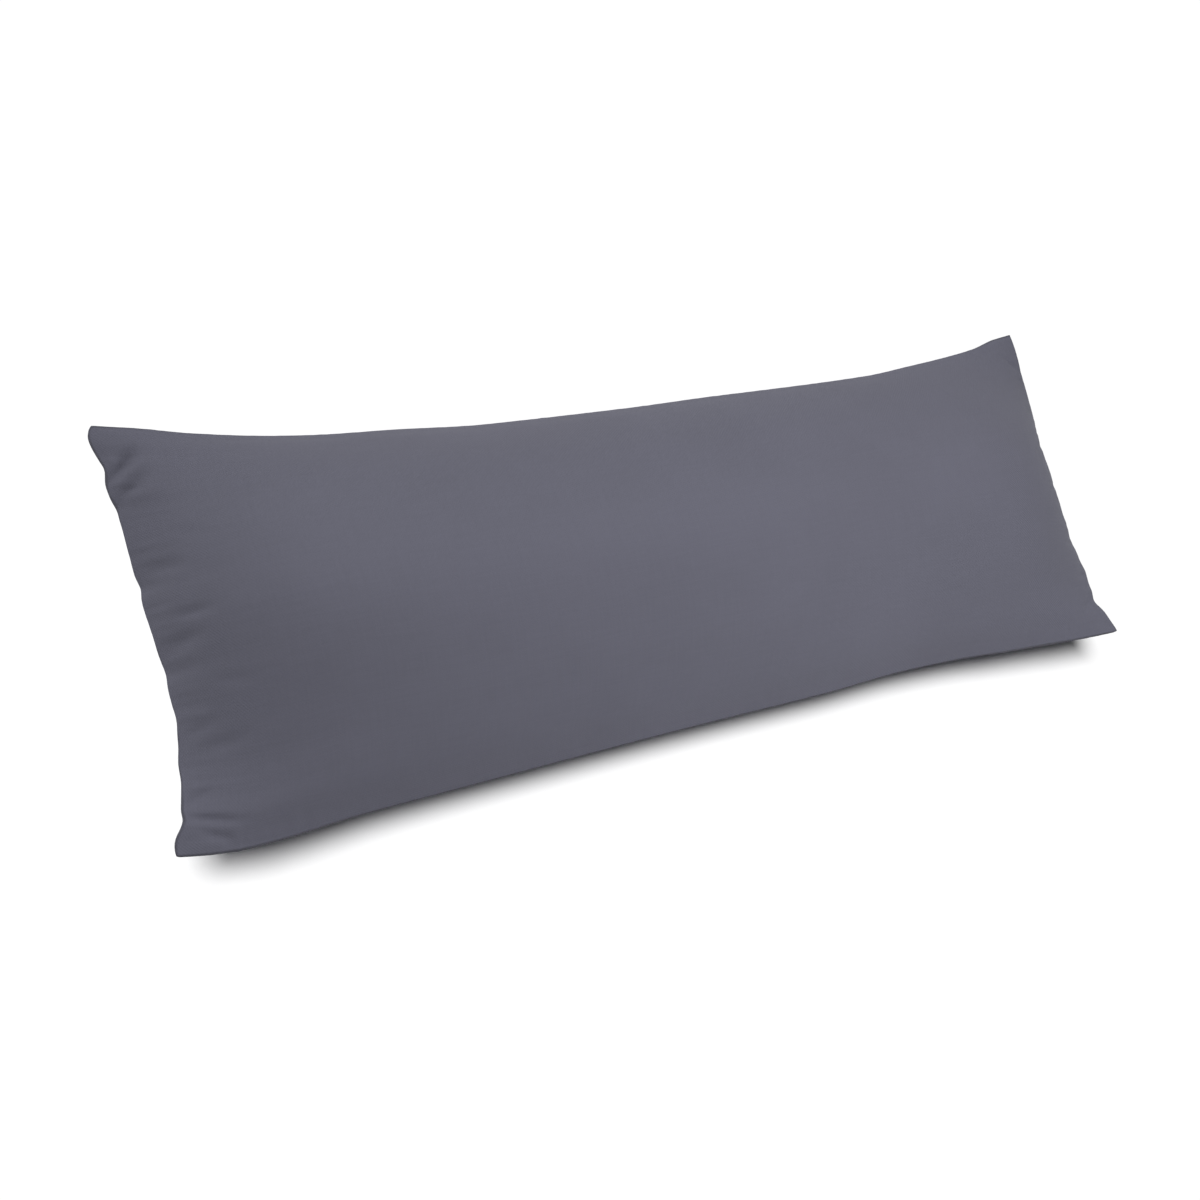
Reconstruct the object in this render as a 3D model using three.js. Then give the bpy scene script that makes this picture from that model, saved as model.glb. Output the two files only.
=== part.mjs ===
// Lumbar pillow: two plain cloth panels sewn together all round with a knife-edge seam and filled.
// It lies on its back panel. Millimetres, +Z up, +X along the pillow, +Y across it.
// The origin is on the surface it lies on, under the middle of its box.

import * as THREE from 'three';

// Filled size, ear tip to ear tip
const LENGTH = 900;
const WIDTH = 327;
const EAR_HEIGHT = 66; // of the four ear tips above the surface

// Front panel: an arched crown over the seam
const CROWN_RISE = 80; // at the short sides
const CROWN_SWELL = 20; // added to it over the middle of the pillow
const CROWN_HALF_ANGLE = 1.08; // radians of the arc that the crown follows across the pillow
const CROWN_RUN = 165; // from a short side to the full height of the crown
const CROWN_FULLNESS = 3.2; // power of the curve that the crown climbs by

// Share of the crown that is missing at each ear, where the filling doesn't reach
const EAR_HOLLOW = { lowerLeft: 0.6, upperLeft: 0.3, lowerRight: 0.4, upperRight: 0.3 };
const EAR_HOLLOW_RUN = 85; // how fast a hollow dies out into the crown

// Back panel: bellied down to the flat patch that the pillow rests on
const PATCH_SHARE = 0.46; // of the width, flat on the surface
const BELLY_HALF_ANGLE = 1.36; // radians that the belly turns through, from the seam to the surface
const BELLY_RUN = 128; // from a short side to the flat patch
const BELLY_FULLNESS = 2.5;

// Cloth and seam allowance, which keep the ears and the seam from being thinner than the cloth
const EDGE_PLY = 1.5; // on each side of the seam
const EDGE_PLY_RUN = 6; // from the seam to the full ply

// How fast a notch or a wave of the seam dies out into the panel
const NOTCH_RUN = 26;
const WAVE_RUN = 34;

const PATCH_EASE = 3; // how soon the puckers and the ply come back past the edge of the flat patch

// The seam, one table for each side. at: share of the side, from the left ear or from the lower ear;
// drawIn: how far the filling pulls the seam in; drop: how far it hangs below the ear tips.
const UPPER_SEAM = [
  { at: 0.0, drawIn: 0, drop: 0 },
  { at: 0.03, drawIn: 5.7, drop: -1 },
  { at: 0.08, drawIn: 14, drop: 4 },
  { at: 0.15, drawIn: 21.1, drop: 10 },
  { at: 0.2, drawIn: 23.6, drop: 13 },
  { at: 0.25, drawIn: 24.5, drop: 15 },
  { at: 0.35, drawIn: 28.5, drop: 16.8 },
  { at: 0.5, drawIn: 27.7, drop: 18 },
  { at: 0.6, drawIn: 25.8, drop: 17.3 },
  { at: 0.72, drawIn: 25.3, drop: 15 },
  { at: 0.79, drawIn: 24.7, drop: 11.7 },
  { at: 0.85, drawIn: 20.7, drop: 8 },
  { at: 0.9, drawIn: 16.4, drop: 5.5 },
  { at: 0.945, drawIn: 10.7, drop: 3 },
  { at: 0.975, drawIn: 3.4, drop: 1 },
  { at: 1.0, drawIn: 0, drop: 0 },
];
const LOWER_SEAM = [
  { at: 0.0, drawIn: 0, drop: 0 },
  { at: 0.03, drawIn: -3.7, drop: 0 },
  { at: 0.05, drawIn: -5, drop: 1 },
  { at: 0.08, drawIn: -4, drop: 4 },
  { at: 0.15, drawIn: 0.9, drop: 10 },
  { at: 0.25, drawIn: 3.6, drop: 15 },
  { at: 0.5, drawIn: 8.7, drop: 18 },
  { at: 0.62, drawIn: 9.7, drop: 17 },
  { at: 0.72, drawIn: 13, drop: 15 },
  { at: 0.785, drawIn: 11.9, drop: 12.1 },
  { at: 0.85, drawIn: 8.1, drop: 8 },
  { at: 0.9, drawIn: 5.4, drop: 4.9 },
  { at: 0.95, drawIn: 2.3, drop: 2 },
  { at: 1.0, drawIn: 0, drop: 0 },
];
const LEFT_SEAM = [
  { at: 0.0, drawIn: 0, drop: 0 },
  { at: 0.06, drawIn: 0.5, drop: 0 },
  { at: 0.12, drawIn: 11.3, drop: 3 },
  { at: 0.2, drawIn: 16.4, drop: 8 },
  { at: 0.31, drawIn: 19, drop: 10 },
  { at: 0.42, drawIn: 17.5, drop: 10 },
  { at: 0.6, drawIn: 12.1, drop: 10 },
  { at: 0.75, drawIn: 9.4, drop: 7 },
  { at: 0.85, drawIn: 3.6, drop: 4 },
  { at: 0.92, drawIn: 0.9, drop: 2 },
  { at: 0.97, drawIn: -2.8, drop: 0 },
  { at: 1.0, drawIn: 0, drop: 0 },
];
const RIGHT_SEAM = [
  { at: 0.0, drawIn: -3, drop: 0 },
  { at: 0.06, drawIn: 4.3, drop: 0 },
  { at: 0.16, drawIn: 11.1, drop: 2 },
  { at: 0.3, drawIn: 12.2, drop: 3 },
  { at: 0.45, drawIn: 15.3, drop: 4 },
  { at: 0.55, drawIn: 13.8, drop: 4 },
  { at: 0.72, drawIn: 4.8, drop: 3 },
  { at: 0.85, drawIn: 2, drop: 1 },
  { at: 0.95, drawIn: -1, drop: 0 },
  { at: 1.0, drawIn: -1.3, drop: 0 },
];

// Radius of each ear in plan
const EAR_RADIUS = { upperLeft: 4.5, lowerLeft: 4, upperRight: 2, lowerRight: 4.5 };

// Gathers of the short seams. from: millimetres down the side from its upper ear; notch: how far the
// gather pulls the seam in; wave: how far it lifts the seam; halfWidth: of both, along the seam.
const LEFT_GATHERS = [
  { from: 35, notch: 2.5, wave: 1.5, halfWidth: 8 },
  { from: 67, notch: 1.1, wave: -1, halfWidth: 5.7 },
  { from: 94, notch: -0.3, wave: 0.8, halfWidth: 8 },
  { from: 128, notch: 2, wave: -1.2, halfWidth: 7.4 },
  { from: 165, notch: 0.1, wave: 1, halfWidth: 8 },
  { from: 194, notch: 1.5, wave: -1.4, halfWidth: 8.9 },
  { from: 229, notch: 1, wave: 1.2, halfWidth: 8.8 },
  { from: 262, notch: -1.3, wave: -1, halfWidth: 9.7 },
  { from: 304, notch: 7.9, wave: 1.8, halfWidth: 8.7 },
];
const RIGHT_GATHERS = [
  { from: 52, notch: 0, wave: -0.2, halfWidth: 8 },
  { from: 115, notch: 0.5, wave: -0.3, halfWidth: 8 },
  { from: 174, notch: -0.4, wave: 0.3, halfWidth: 8 },
  { from: 226, notch: 1.8, wave: -0.1, halfWidth: 8 },
  { from: 261, notch: -1.4, wave: 0.6, halfWidth: 8 },
  { from: 293, notch: 4.4, wave: -0.2, halfWidth: 8 },
];

// Puckers: soft troughs near a gathered short seam, and a fold between two where depth is below 0.
// from: as above, where the pucker's line meets the seam; begin and reach: how far in from the seam
// it begins and ends, begin being below 0 where the seam cuts it off; depth and halfWidth: of the
// trough; lean: sideways travel for each millimetre inwards, towards the lower side above 0.
const FRONT_LEFT_PUCKERS = [
  { from: 46, begin: -5, reach: 36, depth: 4.6, halfWidth: 5.5, lean: -0.9 },
  { from: 54.5, begin: -2, reach: 38, depth: -1.6, halfWidth: 4.5, lean: -0.8 },
  { from: 63, begin: -6, reach: 36, depth: 2.9, halfWidth: 4.5, lean: -0.69 },
  { from: 69, begin: 0, reach: 40, depth: -0.8, halfWidth: 5, lean: -0.45 },
  { from: 65, begin: -6, reach: 20, depth: 0.8, halfWidth: 4.5, lean: 0 },
  { from: 87, begin: 22, reach: 62, depth: 0.9, halfWidth: 5, lean: 0.2 },
  { from: 117, begin: -5, reach: 39, depth: 3.2, halfWidth: 5, lean: 0.05 },
  { from: 136, begin: -2, reach: 44, depth: 0.8, halfWidth: 6, lean: 0.05 },
  { from: 156.5, begin: 9, reach: 46, depth: 2.6, halfWidth: 4.5, lean: 0 },
  { from: 178, begin: -6, reach: 36, depth: 3.4, halfWidth: 6, lean: -0.15 },
  { from: 193, begin: 0, reach: 28, depth: 0.6, halfWidth: 4.5, lean: 0 },
  { from: 202, begin: 16, reach: 60, depth: 1, halfWidth: 4.5, lean: 0.2 },
  { from: 220, begin: -4, reach: 28, depth: 0.9, halfWidth: 4.5, lean: 0.1 },
  { from: 244, begin: -4, reach: 30, depth: 1.8, halfWidth: 4.5, lean: -0.3 },
  { from: 257, begin: -2, reach: 58, depth: 1.6, halfWidth: 5.5, lean: -0.15 },
  { from: 293, begin: -5, reach: 26, depth: 1.6, halfWidth: 4.5, lean: -0.5 },
  { from: 300.5, begin: -12, reach: 60, depth: 2.7, halfWidth: 4.5, lean: 0.13 },
  { from: 303, begin: 4, reach: 52, depth: 1.6, halfWidth: 4.5, lean: 0.4 },
];
const FRONT_RIGHT_PUCKERS = [
  { from: 44, begin: -4, reach: 34, depth: 2, halfWidth: 4.5, lean: -0.8 },
  { from: 92, begin: -2, reach: 40, depth: 0.8, halfWidth: 5, lean: 0 },
  { from: 128, begin: -4, reach: 44, depth: 1.2, halfWidth: 5, lean: 0.05 },
  { from: 174, begin: 0, reach: 46, depth: 1.4, halfWidth: 5, lean: -0.05 },
  { from: 201, begin: -4, reach: 34, depth: 0.8, halfWidth: 4.5, lean: 0.1 },
  { from: 230, begin: -4, reach: 44, depth: 1.4, halfWidth: 5, lean: 0.1 },
  { from: 262, begin: -4, reach: 34, depth: 0.8, halfWidth: 4.5, lean: 0.1 },
  { from: 288, begin: -4, reach: 38, depth: 2, halfWidth: 4.5, lean: 0.4 },
];
const BACK_LEFT_PUCKERS = [
  { from: 40, begin: -4, reach: 36, depth: 2.6, halfWidth: 4.5, lean: -0.9 },
  { from: 62, begin: -2, reach: 44, depth: 1.4, halfWidth: 5, lean: -0.2 },
  { from: 90, begin: 0, reach: 48, depth: 1.5, halfWidth: 5.5, lean: -0.1 },
  { from: 132, begin: -3, reach: 54, depth: 2.2, halfWidth: 5.5, lean: 0.1 },
  { from: 155, begin: -4, reach: 36, depth: 1, halfWidth: 5, lean: 0 },
  { from: 178, begin: 2, reach: 50, depth: 1.8, halfWidth: 5, lean: 0 },
  { from: 214, begin: -4, reach: 56, depth: 2.2, halfWidth: 5.5, lean: -0.1 },
  { from: 250, begin: 0, reach: 44, depth: 1.4, halfWidth: 5, lean: 0.15 },
  { from: 293, begin: -5, reach: 42, depth: 2.6, halfWidth: 4.5, lean: 0.5 },
];
const BACK_RIGHT_PUCKERS = [
  { from: 36, begin: -4, reach: 36, depth: 2.4, halfWidth: 4.5, lean: -0.8 },
  { from: 70, begin: 0, reach: 46, depth: 1.2, halfWidth: 5, lean: -0.1 },
  { from: 96, begin: -3, reach: 50, depth: 1.8, halfWidth: 5.5, lean: 0.1 },
  { from: 128, begin: -4, reach: 38, depth: 1.2, halfWidth: 5, lean: 0 },
  { from: 160, begin: 0, reach: 56, depth: 2.2, halfWidth: 5.5, lean: -0.1 },
  { from: 205, begin: -3, reach: 46, depth: 1.6, halfWidth: 5.5, lean: 0.1 },
  { from: 244, begin: 2, reach: 52, depth: 2, halfWidth: 5, lean: -0.15 },
  { from: 288, begin: -5, reach: 40, depth: 2.6, halfWidth: 4.5, lean: 0.5 },
];

// Grid of each panel. Its lines across the pillow lie at these distances from the short side that
// they are nearer to; its lines along the pillow are a little closer together at the long seams.
const LINES_FROM_SHORT_SIDE = [
  0, 5, 11, 18, 25, 32, 40, 48, 57, 67, 78, 91, 106, 123, 142, 163, 187, 214, 245, 280, 318, 360, 404,
];
const CELLS_ALONG = 2 * LINES_FROM_SHORT_SIDE.length;
const CELLS_ACROSS = 62;
const BUNCH_ACROSS = 0.16; // 0 spaces the cells evenly, 1 bunches them most

// Dyed cotton-like cloth, dull and slate violet-grey
const CLOTH = { color: '#696977', roughness: 0.9, metalness: 0 };

// A smooth curve through one column of a table, without overshoot between its rows
function curveThrough(table, column) {
  const last = table.length - 1;
  const step = (k) => table[k + 1].at - table[k].at;
  const rise = (k) => (table[k + 1][column] - table[k][column]) / step(k);
  const slopes = table.map((row, k) => {
    if (k === 0) return rise(0);
    if (k === last) return rise(last - 1);
    const before = rise(k - 1);
    const after = rise(k);
    if (before * after <= 0) return 0;
    const nearBefore = 2 * step(k) + step(k - 1);
    const nearAfter = step(k) + 2 * step(k - 1);
    return (nearBefore + nearAfter) / (nearBefore / before + nearAfter / after);
  });
  return (at) => {
    const found = table.findIndex((row) => row.at > at);
    const k = found < 0 ? last - 1 : Math.max(found - 1, 0);
    const t = (at - table[k].at) / step(k);
    const ease = t * t * (3 - 2 * t);
    const leave = t * (1 - t) * (1 - t);
    const arrive = t * t * (t - 1);
    return (
      table[k][column] * (1 - ease) +
      table[k + 1][column] * ease +
      step(k) * (slopes[k] * leave + slopes[k + 1] * arrive)
    );
  };
}

function seamCurves(table) {
  return { drawIn: curveThrough(table, 'drawIn'), drop: curveThrough(table, 'drop') };
}

const SEAM = {
  upper: seamCurves(UPPER_SEAM),
  lower: seamCurves(LOWER_SEAM),
  left: seamCurves(LEFT_SEAM),
  right: seamCurves(RIGHT_SEAM),
};

const bell = (distance, halfWidth) => Math.exp(-((distance / halfWidth) ** 2));

// 0 at the seam, 1 where the panel has come up to its full height
function climb(inward, run, fullness) {
  return 1 - Math.max(1 - inward / run, 0) ** fullness;
}

// Sum of one column of the gathers at a place along their side
function gathered(gathers, from, column) {
  return gathers.reduce((sum, g) => sum + g[column] * bell(from - g.from, g.halfWidth), 0);
}

// Sum of the depths of the puckers at a place on a panel
function puckered(puckers, from, inward) {
  let depth = 0;
  for (const p of puckers) {
    if (inward <= p.begin || inward >= p.reach) continue;
    const swell = Math.sin((Math.PI * (inward - p.begin)) / (p.reach - p.begin)) ** 2;
    depth += p.depth * swell * bell(from - p.from - p.lean * inward, p.halfWidth);
  }
  return depth;
}

// Height share of the crown across the pillow: 0 on the long seams, 1 along the middle
function crownAcross(across) {
  const rim = Math.cos(CROWN_HALF_ANGLE);
  return (Math.cos(CROWN_HALF_ANGLE * across) - rim) / (1 - rim);
}

// Depth share of the belly across the pillow: 0 on the long seams, 1 over the flat patch
function bellyAcross(across) {
  const toPatch = Math.max((Math.abs(across) - PATCH_SHARE) / (1 - PATCH_SHARE), 0);
  const turned = Math.sqrt(1 - (toPatch * Math.sin(BELLY_HALF_ANGLE)) ** 2);
  return 1 - (1 - turned) / (1 - Math.cos(BELLY_HALF_ANGLE));
}

// Rounds an ear in plan. toShort and toLong: distances to its two seams.
function roundedEar(toShort, toLong, radius) {
  if (toShort >= radius || toLong >= radius) return { toShort, toLong };
  const x = 1 - toShort / radius;
  const y = 1 - toLong / radius;
  return {
    toShort: radius * (1 - x * Math.sqrt(1 - (y * y) / 2)),
    toLong: radius * (1 - y * Math.sqrt(1 - (x * x) / 2)),
  };
}

// A point of a panel. along and up: 0..1 over the pillow, from its left and its lower side.
function panelPoint(along, up, isFront) {
  const leftX = -LENGTH / 2 + SEAM.left.drawIn(up);
  const rightX = LENGTH / 2 - SEAM.right.drawIn(up);
  const lowerY = -WIDTH / 2 + SEAM.lower.drawIn(along);
  const upperY = WIDTH / 2 - SEAM.upper.drawIn(along);
  const fromLeft = (rightX - leftX) * along;
  const fromRight = (rightX - leftX) * (1 - along);
  const fromLower = (upperY - lowerY) * up;
  const fromUpper = (upperY - lowerY) * (1 - up);
  const downSide = WIDTH * (1 - up);

  // Plan position: the drawn-in seams, the ears rounded and the gathers pulled in
  const isLeft = along < 0.5;
  const isLower = up < 0.5;
  const ear = (isLower ? 'lower' : 'upper') + (isLeft ? 'Left' : 'Right');
  const plan = roundedEar(
    isLeft ? fromLeft : fromRight,
    isLower ? fromLower : fromUpper,
    EAR_RADIUS[ear],
  );
  const notchLeft = gathered(LEFT_GATHERS, downSide, 'notch') * Math.exp(-fromLeft / NOTCH_RUN);
  const notchRight = gathered(RIGHT_GATHERS, downSide, 'notch') * Math.exp(-fromRight / NOTCH_RUN);
  const x = (isLeft ? leftX + plan.toShort : rightX - plan.toShort) + notchLeft - notchRight;
  const y = isLower ? lowerY + plan.toLong : upperY - plan.toLong;

  // Height of the sheet that the seam spans
  const seamZ =
    EAR_HEIGHT -
    (1 - along) * SEAM.left.drop(up) -
    along * SEAM.right.drop(up) -
    (1 - up) * SEAM.lower.drop(along) -
    up * SEAM.upper.drop(along) +
    gathered(LEFT_GATHERS, downSide, 'wave') * Math.exp(-fromLeft / WAVE_RUN) +
    gathered(RIGHT_GATHERS, downSide, 'wave') * Math.exp(-fromRight / WAVE_RUN);

  const across = 2 * up - 1;
  const toShort = Math.min(fromLeft, fromRight);
  const toLong = Math.min(fromLower, fromUpper);
  const ply =
    EDGE_PLY * (1 - Math.exp(-toShort / EDGE_PLY_RUN)) * (1 - Math.exp(-toLong / EDGE_PLY_RUN));

  if (isFront) {
    const ends =
      climb(fromLeft, CROWN_RUN, CROWN_FULLNESS) * climb(fromRight, CROWN_RUN, CROWN_FULLNESS);
    const rise = CROWN_RISE + CROWN_SWELL * Math.sin(Math.PI * along);
    const hollow = EAR_HOLLOW[ear] * bell(Math.hypot(toShort, toLong), EAR_HOLLOW_RUN);
    const crown = rise * crownAcross(across) * ends * (1 - hollow);
    const pucker =
      puckered(FRONT_LEFT_PUCKERS, downSide, fromLeft) +
      puckered(FRONT_RIGHT_PUCKERS, downSide, fromRight);
    return new THREE.Vector3(x, y, seamZ + crown + ply - Math.min(pucker, crown));
  }
  const ends =
    climb(fromLeft, BELLY_RUN, BELLY_FULLNESS) * climb(fromRight, BELLY_RUN, BELLY_FULLNESS);
  const lift = 1 - bellyAcross(across) * ends;
  const belly = seamZ * (1 - lift);
  const pucker =
    puckered(BACK_LEFT_PUCKERS, downSide, fromLeft) +
    puckered(BACK_RIGHT_PUCKERS, downSide, fromRight);
  const z = seamZ - belly + (Math.min(pucker, belly) - ply) * Math.min(lift * PATCH_EASE, 1);
  return new THREE.Vector3(x, y, Math.max(z, 0));
}

// Places of the grid lines across the pillow, 0..1
function linesAlong() {
  const nearLeft = LINES_FROM_SHORT_SIDE.map((distance) => distance / LENGTH);
  return [...nearLeft, 0.5, ...nearLeft.map((place) => 1 - place).reverse()];
}

// Places of the grid lines along the pillow, 0..1, closer together at both ends
function bunched(cells, bunch) {
  return Array.from({ length: cells + 1 }, (_, k) => {
    const even = k / cells;
    const eased = (1 - Math.cos(Math.PI * even)) / 2;
    return even + (eased - even) * bunch;
  });
}

// Both panels on one grid, with the points of the seam shared, so the solid closes along it
function pillowGeometry() {
  const along = linesAlong();
  const up = bunched(CELLS_ACROSS, BUNCH_ACROSS);
  const points = [];
  const addPoint = (i, j, isFront) => {
    points.push(panelPoint(along[i], up[j], isFront));
    return points.length - 1;
  };
  const onSeam = (i, j) => i === 0 || j === 0 || i === CELLS_ALONG || j === CELLS_ACROSS;
  const front = along.map((_, i) => up.map((__, j) => addPoint(i, j, true)));
  const back = front.map((column, i) =>
    column.map((shared, j) => (onSeam(i, j) ? shared : addPoint(i, j, false))),
  );

  // Each cell is split along the line towards the middle of the panel, so no triangle of an ear
  // lies wholly on the seam
  const faces = [];
  const addCell = (panel, i, j, isFront) => {
    const [a, b, c, d] = [panel[i][j], panel[i + 1][j], panel[i + 1][j + 1], panel[i][j + 1]];
    const rising = i < CELLS_ALONG / 2 === j < CELLS_ACROSS / 2;
    const pair = rising ? [[a, b, c], [a, c, d]] : [[a, b, d], [b, c, d]];
    for (const [p, q, r] of pair) faces.push(...(isFront ? [p, q, r] : [p, r, q]));
  };
  for (let i = 0; i < CELLS_ALONG; i += 1) {
    for (let j = 0; j < CELLS_ACROSS; j += 1) {
      addCell(front, i, j, true);
      addCell(back, i, j, false);
    }
  }
  const geometry = new THREE.BufferGeometry().setFromPoints(points);
  geometry.setIndex(faces);
  geometry.computeVertexNormals();
  return geometry;
}

const pillow = new THREE.Mesh(pillowGeometry(), new THREE.MeshStandardMaterial(CLOTH));
pillow.name = 'pillow';
pillow.geometry.computeBoundingBox();
const middle = pillow.geometry.boundingBox.getCenter(new THREE.Vector3());
pillow.position.set(-middle.x, -middle.y, 0);

const lumbarPillow = new THREE.Group();
lumbarPillow.add(pillow);

export default lumbarPillow;
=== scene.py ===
"""Lumbar pillow, dressed.

A long knife-edge cushion in plain slate cloth. Its two panels are sewn together all round and
filled, and it lies on its back panel. Sizes are in millimetres until a mesh is made, then metres.
"""

from __future__ import annotations

import logging
import math
from dataclasses import dataclass, field
from enum import Enum
from typing import NamedTuple, Sequence

import bpy
import numpy as np
from mathutils import Matrix, Vector

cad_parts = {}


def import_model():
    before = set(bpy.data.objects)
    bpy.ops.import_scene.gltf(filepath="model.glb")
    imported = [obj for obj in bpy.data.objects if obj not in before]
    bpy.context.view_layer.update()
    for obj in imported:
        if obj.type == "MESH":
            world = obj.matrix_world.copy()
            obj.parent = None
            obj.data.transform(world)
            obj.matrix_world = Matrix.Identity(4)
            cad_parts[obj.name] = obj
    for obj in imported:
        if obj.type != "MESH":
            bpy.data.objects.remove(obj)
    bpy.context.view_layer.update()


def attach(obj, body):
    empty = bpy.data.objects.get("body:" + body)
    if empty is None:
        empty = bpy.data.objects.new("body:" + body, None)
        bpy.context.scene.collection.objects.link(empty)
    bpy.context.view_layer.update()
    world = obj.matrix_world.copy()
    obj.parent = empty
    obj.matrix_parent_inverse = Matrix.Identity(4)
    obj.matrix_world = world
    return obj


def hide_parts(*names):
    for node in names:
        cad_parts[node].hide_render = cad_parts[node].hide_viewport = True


LOG = logging.getLogger("lumbar_pillow")

MM = 0.001  # metres in a millimetre
NODE = "pillow"
BODY = "root"
THREADS_MAP = "threads"  # each place on the flat cut panels, in metres
SEAM_DISTANCE = "from_seam"  # distance from the seam line, in metres
CURVE_SAMPLES = 1201  # points that the length of a panel's curve is measured at
MIDDLE_SAMPLES = 401  # points along each side that the form's box is measured at


class SeamRow(NamedTuple):
    """A place on one side of the seam."""

    at: float  # share of the side, from the left ear or from the lower ear
    draw_in: float  # how far the filling pulls the seam in
    drop: float  # how far it hangs below the ear tips


class GatherRow(NamedTuple):
    """A gather of a short seam."""

    start: float  # down the side from its upper ear
    notch: float  # how far the seam is pulled in
    wave: float  # how far the seam is lifted
    half_width: float  # along the seam


class PuckerRow(NamedTuple):
    """A soft trough near a gathered short seam, or a fold between two if its depth is below 0."""

    start: float  # down the side from its upper ear, where its line meets the seam
    begin: float  # how far in from the seam it begins, below 0 where the seam cuts it off
    reach: float  # how far in from the seam it ends
    depth: float
    half_width: float
    lean: float  # sideways travel for each millimetre inwards, downwards above 0


class Panel(Enum):
    """The two panels of the cover."""

    FRONT = "front"
    BACK = "back"


UPPER_SEAM = (
    SeamRow(0.0, 0, 0),
    SeamRow(0.03, 5.7, -1),
    SeamRow(0.08, 14, 4),
    SeamRow(0.15, 21.1, 10),
    SeamRow(0.2, 23.6, 13),
    SeamRow(0.25, 24.5, 15),
    SeamRow(0.35, 28.5, 16.8),
    SeamRow(0.5, 27.7, 18),
    SeamRow(0.6, 25.8, 17.3),
    SeamRow(0.72, 25.3, 15),
    SeamRow(0.79, 24.7, 11.7),
    SeamRow(0.85, 20.7, 8),
    SeamRow(0.9, 16.4, 5.5),
    SeamRow(0.945, 10.7, 3),
    SeamRow(0.975, 3.4, 1),
    SeamRow(1.0, 0, 0),
)
LOWER_SEAM = (
    SeamRow(0.0, 0, 0),
    SeamRow(0.03, -3.7, 0),
    SeamRow(0.05, -5, 1),
    SeamRow(0.08, -4, 4),
    SeamRow(0.15, 0.9, 10),
    SeamRow(0.25, 3.6, 15),
    SeamRow(0.5, 8.7, 18),
    SeamRow(0.62, 9.7, 17),
    SeamRow(0.72, 13, 15),
    SeamRow(0.785, 11.9, 12.1),
    SeamRow(0.85, 8.1, 8),
    SeamRow(0.9, 5.4, 4.9),
    SeamRow(0.95, 2.3, 2),
    SeamRow(1.0, 0, 0),
)
LEFT_SEAM = (
    SeamRow(0.0, 0, 0),
    SeamRow(0.06, 0.5, 0),
    SeamRow(0.12, 11.3, 3),
    SeamRow(0.2, 16.4, 8),
    SeamRow(0.31, 19, 10),
    SeamRow(0.42, 17.5, 10),
    SeamRow(0.6, 12.1, 10),
    SeamRow(0.75, 9.4, 7),
    SeamRow(0.85, 3.6, 4),
    SeamRow(0.92, 0.9, 2),
    SeamRow(0.97, -2.8, 0),
    SeamRow(1.0, 0, 0),
)
RIGHT_SEAM = (
    SeamRow(0.0, -3, 0),
    SeamRow(0.06, 4.3, 0),
    SeamRow(0.16, 11.1, 2),
    SeamRow(0.3, 12.2, 3),
    SeamRow(0.45, 15.3, 4),
    SeamRow(0.55, 13.8, 4),
    SeamRow(0.72, 4.8, 3),
    SeamRow(0.85, 2, 1),
    SeamRow(0.95, -1, 0),
    SeamRow(1.0, -1.3, 0),
)
LEFT_GATHERS = (
    GatherRow(35, 2.5, 1.5, 8),
    GatherRow(67, 1.1, -1, 5.7),
    GatherRow(94, -0.3, 0.8, 8),
    GatherRow(128, 2, -1.2, 7.4),
    GatherRow(165, 0.1, 1, 8),
    GatherRow(194, 1.5, -1.4, 8.9),
    GatherRow(229, 1, 1.2, 8.8),
    GatherRow(262, -1.3, -1, 9.7),
    GatherRow(304, 7.9, 1.8, 8.7),
)
RIGHT_GATHERS = (
    GatherRow(52, 0, -0.2, 8),
    GatherRow(115, 0.5, -0.3, 8),
    GatherRow(174, -0.4, 0.3, 8),
    GatherRow(226, 1.8, -0.1, 8),
    GatherRow(261, -1.4, 0.6, 8),
    GatherRow(293, 4.4, -0.2, 8),
)
FRONT_LEFT_PUCKERS = (
    PuckerRow(46, -5, 36, 4.6, 5.5, -0.9),
    PuckerRow(54.5, -2, 38, -1.6, 4.5, -0.8),
    PuckerRow(63, -6, 36, 2.9, 4.5, -0.69),
    PuckerRow(69, 0, 40, -0.8, 5, -0.45),
    PuckerRow(65, -6, 20, 0.8, 3, 0),
    PuckerRow(87, 22, 62, 0.9, 5, 0.2),
    PuckerRow(117, -5, 39, 3.2, 5, 0.05),
    PuckerRow(136, -2, 44, 0.8, 6, 0.05),
    PuckerRow(156.5, 9, 46, 2.6, 4, 0),
    PuckerRow(178, -6, 36, 3.4, 6, -0.15),
    PuckerRow(193, 0, 28, 0.6, 4, 0),
    PuckerRow(202, 16, 60, 1, 4, 0.2),
    PuckerRow(220, -4, 28, 0.9, 4, 0.1),
    PuckerRow(244, -4, 30, 1.8, 4.5, -0.3),
    PuckerRow(257, -2, 58, 1.6, 5.5, -0.15),
    PuckerRow(293, -5, 26, 1.6, 4, -0.5),
    PuckerRow(300.5, -12, 60, 2.7, 2.8, 0.13),
    PuckerRow(303, 4, 52, 1.6, 3.5, 0.4),
)
FRONT_RIGHT_PUCKERS = (
    PuckerRow(44, -4, 34, 2, 4.5, -0.8),
    PuckerRow(92, -2, 40, 0.8, 5, 0),
    PuckerRow(128, -4, 44, 1.2, 5, 0.05),
    PuckerRow(174, 0, 46, 1.4, 5, -0.05),
    PuckerRow(201, -4, 34, 0.8, 4.5, 0.1),
    PuckerRow(230, -4, 44, 1.4, 5, 0.1),
    PuckerRow(262, -4, 34, 0.8, 4.5, 0.1),
    PuckerRow(288, -4, 38, 2, 4, 0.4),
)
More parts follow.
